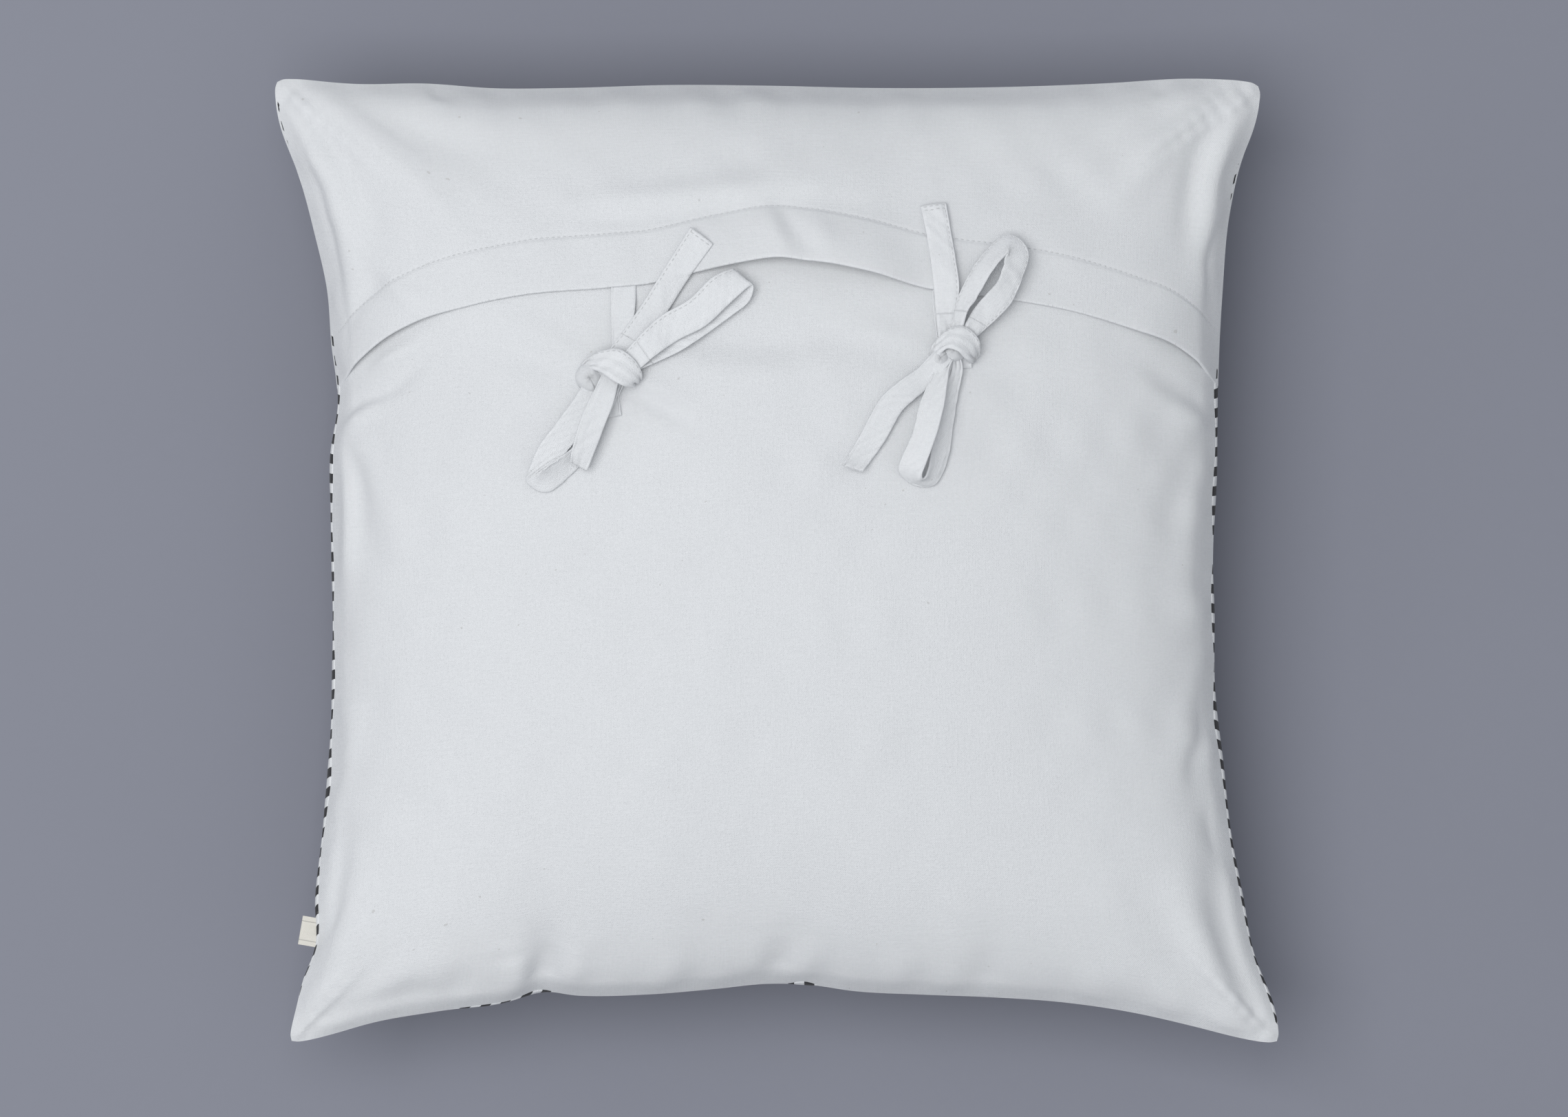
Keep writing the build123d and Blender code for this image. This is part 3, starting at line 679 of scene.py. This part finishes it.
def base_normal(u, v):
    """Outward normal of the smooth back at (u, v)."""
    small = 0.012
    across = sample_grid(back_grid, np.minimum(u + small, 1), v)
    across = across - sample_grid(back_grid, np.maximum(u - small, -1), v)
    along = sample_grid(back_grid, u, np.minimum(v + small, 1))
    along = along - sample_grid(back_grid, u, np.maximum(v - small, -1))
    return unit(np.cross(across, along))


def hem_y(x):
    """How far along +Y the flap's edge is, at each x."""
    return smooth_curve(HEM_EDGE, np.asarray(x, float) / MM) * MM


def place_at_y(u, y_of_x):
    """For each u, the v where the back reaches y_of_x(x)."""
    v = np.full(len(u), 0.5)
    for _ in range(40):
        here = sample_grid(back_grid, u, v)
        v = np.clip(v + (y_of_x(here[:, 0]) - here[:, 1]) / filled_half, -1, 1)
    return v


def seam_puckers(u, v):
    """Short gathers that run in from the seams, different on each side."""
    gather = 0
    for across, along, seed in ((u, v, 3), (v, u, 5)):
        inward = 1 - np.abs(across)
        shift = np.where(across > 0, 11.0, 0.0)
        deep = bell(inward * 300, 9, 16) * smooth_step(0.0, 0.02, inward)
        gather = gather + deep * wavy(along * 12 + shift, seed, 1.5, 6.5, 7) * 0.55 * MM
    return gather


def back_surface(u, v, folds):
    """Points of the back with its folds, at (u, v)."""
    points = sample_grid(back_grid, u, v)
    inboard = smooth_step(0.0, 0.05, 1 - np.abs(u)) * smooth_step(0.0, 0.05, 1 - np.abs(v))
    lift = fold_strength * fold_heights(points, folds) * inboard + seam_puckers(u, v)
    lift = lift + 0.35 * MM * wavy(u * 9 + 2 * v, 21) * wavy(v * 8 - u, 22) * inboard
    room = 0.3 * np.maximum(points[..., 2] - seam_height, 0.0) + 0.05 * MM
    lift = np.where(lift < 0, -room * (1 - np.exp(np.minimum(lift, 0) / room)), lift)
    return points + lift[..., None] * base_normal(u, v)


def flat_place(u, v):
    """Place on the flat cloth."""
    return np.stack([u * flat_half, v * flat_half, 0 * u], -1)


# Back panel: from the near seam to its own turned hem under the flap
panel_end = place_at_y(np.zeros(1), lambda x: hem_y(0 * x) + back_overlap)[0]
panel_v = np.concatenate([spread[:200][spread[:200] < panel_end - 0.01], [panel_end]])
u, v = np.meshgrid(spread, panel_v, indexing="ij")
panel_points = back_surface(u, v, PANEL_FOLDS)
under_flap = smooth_step(3 * MM, 22 * MM, panel_points[..., 1] - hem_y(panel_points[..., 0]))
sunk = np.clip(0.4 * (panel_points[..., 2] - seam_height), 0, panel_sink) * under_flap
panel_points = panel_points - sunk[..., None] * base_normal(u, v)
turned = (panel_points - panel_turn * grid_normals(panel_points))[:, ::-1][:, :12]
panel_sheet = np.concatenate([panel_points, turned], 1)
panel_cloth = np.concatenate([flat_place(u, v), flat_place(u, v)[:, ::-1][:, :12]], 1)
panel_faces = grid_faces(*panel_sheet.shape[:2])
back_cover = piece("back_cover", [(panel_sheet, panel_faces, panel_cloth)], white_cotton)

# Front panel, with its edge rolled a little way up over the side seams
u, v = np.meshgrid(spread, spread, indexing="ij")
front_points = sample_grid(front_grid, u, v)
gathered_in = (np.abs(seam_puckers(u, v)) * 0.8)[..., None]
front_points = front_points - gathered_in * np.stack([u, v, 0 * u - 0.5], -1)
front_points[..., 2] = np.maximum(front_points[..., 2], 0)
front_faces = grid_faces(*u.shape)[:, ::-1]

around = np.linspace(-1, 1, 301)[:-1]
ring_u = np.concatenate([around, np.ones(300), -around, -np.ones(300)])
ring_v = np.concatenate([-np.ones(300), around, np.ones(300), -around])
along_ring = np.arange(len(ring_u)) / len(ring_u) * 40
on_a_side = np.abs(ring_u) > 0.999
shown_near = 1.5 * bell(ring_u, -0.5, 0.035) + 1.8 * bell(ring_u, 0.04, 0.025)
shown_near = (shown_near + 0.9 * bell(ring_u, -0.6, 0.06)) * (ring_v < 0)
show = np.where(on_a_side, 1.1 + 0.7 * wavy(along_ring, 32), shown_near)
show = np.clip(show * smooth_step(0, 0.05, 1 - np.minimum(np.abs(ring_u), np.abs(ring_v))), 0.02, 4) * MM
standing_out = np.clip(show / (1.5 * MM), 0, 1)[:, None]
roll, roll_cloth = [], []
for share, lift in ((-1, 0.1), (0, 0.35), (0.35, 0.55), (0.75, 0.6), (0.97, 0.45), (1.05, -0.6)):
    inboard = 1 - abs(share) * show / flat_half
    here = sample_grid(back_grid if share >= 0 else front_grid, ring_u * inboard, ring_v * inboard)
    outward = unit(np.stack([ring_u**9, ring_v**9, 0 * ring_u + 0.6 * share], -1))
    roll.append(here + outward * (lift * standing_out - 0.15 * (1 - standing_out)) * MM)
    roll_cloth.append(flat_place(ring_u, ring_v) * (1 + share * show / flat_half)[:, None])
roll_faces = grid_faces(len(roll), len(ring_u), ring=True)[:, ::-1]
front_cover = piece("front_cover", [(front_points, front_faces, flat_place(u, v)),
                                    (roll, roll_faces, roll_cloth)], printed_cotton)

# Filled pad inside the cover
coarse = spread[::4]
u, v = np.meshgrid(coarse, coarse, indexing="ij")
middle = np.array([0, 0, seam_height])
pad_parts = []
for grid, order in ((back_grid, 1), (front_grid, -1)):
    pad_points = middle + (sample_grid(grid, u, v) - middle) * pad_share
    pad_parts.append((pad_points, grid_faces(*u.shape)[:, ::order], flat_place(u, v)))
inner_pad = piece("inner_pad", pad_parts, pad_cotton)


# ---- Flap with its turned-under hem ----
def flap_lift(x, beyond):
    """How far the flap stands off the back panel: it gapes between the bows and lies close elsewhere.
    beyond is the distance from the flap's edge."""
    x, beyond = x / MM, beyond / MM
    near_edge = bell(np.maximum(beyond, 0), 0, 34)
    gape = 9.5 * bell(x, 28, 46, 4) + 2.5 * bell(x, -32, 22)
    ruffle = 0.3 + 0.3 * wavy(x / 40, 41, 1, 4)
    left_tuck = 3.2 * bell(x, -225, 26)
    right_tuck = 2.4 * bell(x, 226, 26)
    over_tie = (0.9 * bell(x, -89, 8.5, 4) + 0.9 * bell(x, 97, 8.5, 4)) * smooth_step(42, 26, beyond)
    return (near_edge * (gape + ruffle + left_tuck + right_tuck) + over_tie) * MM


def flap_surface(u, v):
    """Outer face of the flap at (u, v)."""
    points = back_surface(u, v, FLAP_FOLDS)
    inboard = smooth_step(0.0, 0.06, 1 - np.abs(u)) * smooth_step(0.0, 0.06, 1 - v)
    beyond = points[..., 1] - hem_y(points[..., 0])
    stitched = hem_dimple * bell(beyond, hem_width - stitch_inset, 1.3 * MM)
    hem_layers = 0.5 * MM * smooth_step(hem_width + 1 * MM, hem_width - 2 * MM, beyond)
    off = 0.5 * MM + (flap_gap + flap_lift(points[..., 0], beyond) - stitched + hem_layers) * inboard
    return points + off[..., None] * base_normal(u, v)


columns = np.interp(np.linspace(0, 240, 321), np.arange(241), spread)
edge_v = place_at_y(columns, hem_y)
hem_end = 0.125
row_shares = np.concatenate([np.linspace(0, 0.09, 16), np.linspace(0.0925, hem_end, 16)])
rest_shares = np.linspace(0, 1, 60)[1:] ** 0.9
v = np.concatenate([edge_v[:, None] + row_shares,
                    edge_v[:, None] + hem_end + (1 - edge_v[:, None] - hem_end) * rest_shares], 1)
v = np.clip(v, -1, 1)
u = np.repeat(columns[:, None], v.shape[1], 1)
outer = flap_surface(u, v)
normals = grid_normals(outer)
edge_out = unit(outer[:, 0] - outer[:, 2])
fold_rows = []
for turn in (30, 65, 100, 135, 165):
    angle = math.radians(turn)
    way_round = math.sin(angle) * edge_out - (1 - math.cos(angle)) * normals[:, 0]
    fold_rows.append(outer[:, 0] + hem_fold * way_round)
under = outer[:, :28] - normals[:, :28] * flap_layers
flap_points = np.concatenate([outer[:, ::-1], np.stack(fold_rows, 1), under], 1)
flap_cloth = flat_place(u, v)
flap_cloth = np.concatenate([flap_cloth[:, ::-1], np.repeat(flap_cloth[:, :1], 5, 1), flap_cloth[:, :28]], 1)
flap_faces = grid_faces(*flap_points.shape[:2])[:, ::-1]
closure_flap = piece("closure_flap", [(flap_points, flap_faces, flap_cloth)], white_cotton)


# ---- Stitches, straps and knots ----
def stitches(runs):
    """A part of short thread pieces along runs of (points, normals), dipping in at their ends."""
    rings, faces = [], []
    turns = np.arange(6) / 6 * 2 * math.pi
    arch = np.sin(np.linspace(0, math.pi, 6))
    for line, up in runs:
        travelled = travel(line)
        count = max(int(travelled[-1] / stitch_pitch), 1)
        for k in range(count):
            at = (k + 0.12 + np.linspace(0, 0.76, 6)) * travelled[-1] / count
            spine = np.stack([np.interp(at, travelled, line[:, c]) for c in range(3)], -1)
            lift = unit(np.stack([np.interp(at, travelled, up[:, c]) for c in range(3)], -1))
            spine = spine + lift * ((arch * 1.5 - 0.9) * thread_radius)[:, None]
            aside = unit(np.cross(np.gradient(spine, axis=0), lift))
            thick = (thread_radius * (0.55 + 0.45 * arch))[:, None, None]
            ring = np.cos(turns)[:, None] * aside[:, None] + np.sin(turns)[:, None] * lift[:, None]
            faces.append(grid_faces(6, 6, len(rings) * 36, ring=True))
            rings.append((spine[:, None] + thick * ring).reshape(-1, 3))
    points = np.concatenate(rings)
    return points, np.concatenate(faces), points


def height_over(grids):
    """A function that gives the height of the cloth of these grids of points at each plan point."""
    points, faces = [], []
    for grid in grids:
        faces += grid_faces(*grid.shape[:2], start=len(points)).tolist()
        points += grid.reshape(-1, 3).tolist()
    tree = BVHTree.FromPolygons(points, faces)

    def height(x, y):
        found = [tree.ray_cast(Vector((float(a), float(b), 1.0)), Vector((0, 0, -1)))[0]
                 for a, b in zip(np.ravel(x), np.ravel(y))]
        return np.array([seam_height if hit is None else hit.z for hit in found]).reshape(np.shape(x))
    return height


panel_height, cloth_height = height_over([panel_points]), height_over([panel_points, flap_points])


def strap_rows(rows):
    """Rows of six numbers as rows of two edge points."""
    return np.array(rows, float).reshape(-1, 2, 3)


def strap(rows, seed, height=cloth_height, edge="left", end_rows=0, crumple=0.2, pleats=0.0, hinge=None):
    """A folded and top-stitched strap as (cloth, thread) lengths: the one that moves, then its roots.
    hinge is the place and the direction beyond which the strap moves; without it there is one length."""
    rows = rows * MM
    base = height(rows[..., 0], rows[..., 1])
    rows[..., 2] += base.mean(axis=1, keepdims=True) * 0.5 + base * 0.5
    length = travel(rows.mean(axis=1))[-1]
    count = max(int(length / strap_step), 12)
    pairs = even_rows(rows, count)
    shares = np.array([-1, -0.97, -0.9, -0.8, -0.68, -0.45, -0.2, 0, 0.2, 0.45, 0.68, 0.8, 0.9, 0.97, 1])
    left, right = pairs[:, :1], pairs[:, 1:]
    skin = left * ((1 - shares) / 2)[None, :, None] + right * ((1 + shares) / 2)[None, :, None]
    normal = grid_normals(np.swapaxes(skin, 0, 1)).swapaxes(0, 1)
    width = np.linalg.norm(right - left, axis=-1)
    gathered = np.clip(1 - width / tie_width, 0, 0.6)
    travelled = travel(skin[:, 7])
    s, t = np.meshgrid(shares, travelled / MM)
    near_knot = bell(np.minimum(t, length / MM - t), 0, 16)
    creases = gathered * near_knot * 1.6 * np.cos(s * 3 * math.pi + 0.6 * wavy(t / 9, seed))
    creases = creases + crumple * wavy(t / 6 + 1.5 * s, seed + 1)
    creases = creases + 0.5 * crumple * wavy(s * 3 + t / 14, seed + 2) + 0.35 * (1 - s**2)
    creases = creases + pleats * np.cos(s * 2.6 * math.pi + 0.9 * wavy(t / 8, seed + 3))
    skin = skin + normal * creases[..., None] * MM
    floor = height(skin[..., 0], skin[..., 1]) + strap_clearance
    skin[..., 2] = np.where(skin[..., 2] < floor, floor + 0.1 * (skin[..., 2] - floor), skin[..., 2])
    normal = grid_normals(np.swapaxes(skin, 0, 1)).swapaxes(0, 1)
    sewn_at = -1 if edge == "left" else 1
    sewn_share = sewn_at * (1 - 2 * stitch_inset / tie_width)
    puffed = 1 + 0.25 * smooth_step(0.4, 0.75, np.abs(s)) - 0.8 * bell(s, sewn_share, 0.09)
    puffed = puffed * np.sqrt(np.clip(1 - np.abs(s) ** 12, 0, 1))
    off = normal * (puffed * tie_thickness / 2)[..., None]
    top, bottom = skin + off, (skin - off)[:, ::-1][:, 1:-1]
    around = np.concatenate([top, bottom], 1)
    wide = around.shape[1]
    flat_s = np.concatenate([s, s[:, ::-1][:, 1:-1]], 1) * tie_width / 2
    flat_t = np.repeat(travelled[:, None], wide, 1)
    cloth = np.stack([flat_s + seed * 0.0131, flat_t, 0 * flat_s], -1)
    k = np.clip(np.searchsorted(shares, sewn_share) - 1, 0, len(shares) - 2)
    w = (sewn_share - shares[k]) / (shares[k + 1] - shares[k])
    sewn_line = top[:, k] * (1 - w) + top[:, k + 1] * w
    lengths = [(0, count)]
    if hinge is not None:
        moving = np.flatnonzero((skin[:, 7] - hinge[0]) @ unit(hinge[1]) > -root_length)
        first, last = moving[0], moving[-1] + 1
        lengths = [(first, last)] + [(a, b) for a, b in ((0, first + 1), (last - 1, count)) if b - a > 3]
    made = []
    for a, b in lengths:
        faces = [tuple(f) for f in grid_faces(b - a, wide, ring=True)]
        faces += [tuple(range(wide)), tuple((b - a - 1) * wide + k for k in range(wide))[::-1]]
        runs = [(sewn_line[a:b], normal[a:b, 7])]
        for k in range(end_rows if b == count else 0):
            row = count - 2 - 2 * k if end_rows > 1 else count - 3
            runs.append((top[row, 2:-2], normal[row, 2:-2]))
        made.append(((around[a:b], faces, cloth[a:b]), stitches(runs)))
    return made


def lump(x, y, long, wide, turn, high, seed):
    """A rounded bundle of cloth."""
    turn = math.radians(turn)
    slope = np.linspace(-math.pi / 2, math.pi / 2, 22)[:, None]
    way = (np.arange(36) / 36 * 2 * math.pi)[None, :]
    fold = 1 + 0.03 * np.sin(way * 2 + slope * 3 + seed) + 0.012 * np.sin(way * 5 - slope * 4 + 2 * seed)
    a = np.cos(slope) * np.cos(way) * long * fold
    b = np.cos(slope) * np.sin(way) * wide * fold
    c = np.sin(slope) * high * fold + 0 * way
    base = float(cloth_height(np.array(x * MM), np.array(y * MM)))
    points = np.stack([x + a * math.cos(turn) - b * math.sin(turn),
                       y + a * math.sin(turn) + b * math.cos(turn), c + high * 0.25], -1) * MM
    points[..., 2] += base
    cloth = np.stack([way * long * MM + 0 * slope, slope * high * MM + 0 * way + seed * 0.013, 0 * c], -1)
    return points, grid_faces(22, 36, ring=True), cloth


joints = {joint["child"]: joint for joint in frame["joints"]}


def bend_with(made, body, direction):
    """Bakes the strap piece's placement into its mesh."""
    joint = joints[body]
    hinge = np.array(joint["pos_m"])
    made_direction = direction / np.linalg.norm(direction)
    tuple(hinge - made_direction * root_length)
    tuple(hinge + made_direction * bend_length)
    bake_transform(made)


def cloth_and_stitches(name, lengths, bundles=()):
    """The two pieces of a strap or a knot, from its (cloth, thread) lengths and its bundles of cloth."""
    made = piece(name + "_cloth", [cloth for cloth, _ in lengths] + list(bundles), tie_cotton)
    sewn = piece(name + "_stitches", [threads for _, threads in lengths], thread)
    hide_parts(name)
    return made, sewn


knot_roots = {"left_knot": [], "right_knot": []}

for number, (name, rows) in enumerate(TIES.items()):
    rows = strap_rows(rows)
    edge, end_rows = TOP_STITCHED[name]
    hinge = None
    if name in joints:
        tip = rows[len(rows) // 2 if "loop" in name else -1]
        reach = (tip.mean(axis=0) - rows[0].mean(axis=0)) * (1, 1, 0)
        hinge = (np.array(joints[name]["pos_m"]), reach)
    height = cloth_height
    if name.endswith(("flap_tie", "panel_tie")):
        height = panel_height
    lengths = strap(rows, 50 + 7 * number, height, edge, end_rows, hinge=hinge)
    made, sewn = cloth_and_stitches(name, lengths[:1])
    for moved in (made, sewn):
        if hinge:
            bend_with(moved, name, reach)
        else:
            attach(moved, "cushion")
    if hinge:
        knot_roots[name.split("_")[0] + "_knot"] += lengths[1:]

for number, (name, rows) in enumerate(KNOT_BANDS.items()):
    band = strap(strap_rows(rows), 150 + 9 * number, crumple=0.3, pleats=0.5)
    bundles = [lump(*facts, seed=200 + k + 5 * number) for k, facts in enumerate(KNOT_LUMPS[name])]
    for made in cloth_and_stitches(name, band + knot_roots[name], bundles):
        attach(made, "cushion")

# Stitching that holds the flap's hem
hem_line_v = edge_v + (hem_width - stitch_inset) / filled_half
fine_u = np.linspace(-0.985, 0.985, 900)
line_v = np.interp(fine_u, columns, hem_line_v)
for _ in range(12):
    here = sample_grid(back_grid, fine_u, line_v)
    line_v = line_v + (hem_y(here[:, 0]) + hem_width - stitch_inset - here[:, 1]) / filled_half
hem_line = flap_surface(fine_u, line_v)
hem_up = base_normal(fine_u, line_v)
hem_stitches = piece("flap_hem_stitches", [stitches([(hem_line, hem_up)])], thread)

# Folded label in the left seam
label_joint = joints["side_label"]
hinge = np.array(label_joint["pos_m"])
run = unit(np.array(label_joint["axis"], float))
outward = np.array([-run[1], run[0], 0.0])
label_across = np.linspace(-label_half, label_half, 12)
label_rows = []
for out, high in ((-12, 0.5), (-8, 0.55), (-4, 0.62), (-1, 0.75), (1, 0.8), (1.8, 0.45), (2, 0),
                  (1.8, -0.45), (1, -0.8), (-1, -0.75), (-4, -0.62), (-8, -0.55), (-12, -0.5)):
    up = np.array([0, 0, high + 0.012 * max(out, 0) ** 1.5])
    label_rows.append([hinge + (outward * out + run * across + up) * MM for across in label_across])
label_rows = smooth_rows(np.array(label_rows), 60)
along, across = np.meshgrid(travel(label_rows[:, 0]), label_across * MM, indexing="ij")
label_flat = np.stack([across, along - 14 * MM, 0 * across], -1)
side_label = piece("side_label_tape", [(label_rows, grid_faces(60, 12), label_flat)], tape)

# ---- Each piece joins the cushion's body, and the CAD parts it replaces are hidden ----
pad_nodes = ("pad_case_front", "pad_case_back", "pad_filling")
for made, nodes, slot_name in ((back_cover, ("back_panel", "back_panel_hem"), "white_cotton"),
                               (front_cover, ("front_panel",), "printed_cotton"),
                               (closure_flap, ("flap_panel", "flap_hem"), "white_cotton"),
                               (hem_stitches, ("flap_hem_thread",), "sewing_thread"),
                               (inner_pad, pad_nodes, "pad_case_cotton")):
    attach(made, "cushion")
    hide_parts(*nodes)
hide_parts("side_label")
tuple(hinge - outward * 5 * MM)
tuple(hinge + outward * 1.5 * MM)
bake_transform(side_label)

# ---- Floor, light and camera ----
corners = [(-6, -6, -0.0006), (6, -6, -0.0006), (6, 6, -0.0006), (-6, 6, -0.0006)]
floor = piece("studio_floor", [(corners, [(0, 1, 2, 3)], corners)], paint)
floor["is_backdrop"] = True

world = bpy.data.worlds.new("studio")
bpy.context.scene.world = world
world.use_nodes = True
background = world.node_tree.nodes["Background"]
background.inputs[0].default_value = (0.93, 0.96, 1.0, 1)
background.inputs[1].default_value = 0.535


def soft_light(name, place, aim, size, power):
    """A large square light aimed at a point."""
    lamp = bpy.data.lights.new(name, "AREA")
    lamp.size = size
    lamp.energy = power
    made = bpy.data.objects.new(name, lamp)
    made.location = place
    made.rotation_euler = (Vector(aim) - Vector(place)).to_track_quat("-Z", "Y").to_euler()
    bpy.context.scene.collection.objects.link(made)


soft_light("window_light", place=(-1.0, 0.1, 3.4), aim=(0, 0, 0.1), size=2.8, power=78)

lens = bpy.data.cameras.new("overhead")
lens.lens = 152.8
lens.sensor_width = 36
camera = bpy.data.objects.new("overhead", lens)
camera.location = (0.004, 0.002, 4.0)
bpy.context.scene.collection.objects.link(camera)
bpy.context.scene.camera = camera
bpy.context.scene.view_settings.view_transform = "Standard"

low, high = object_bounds()
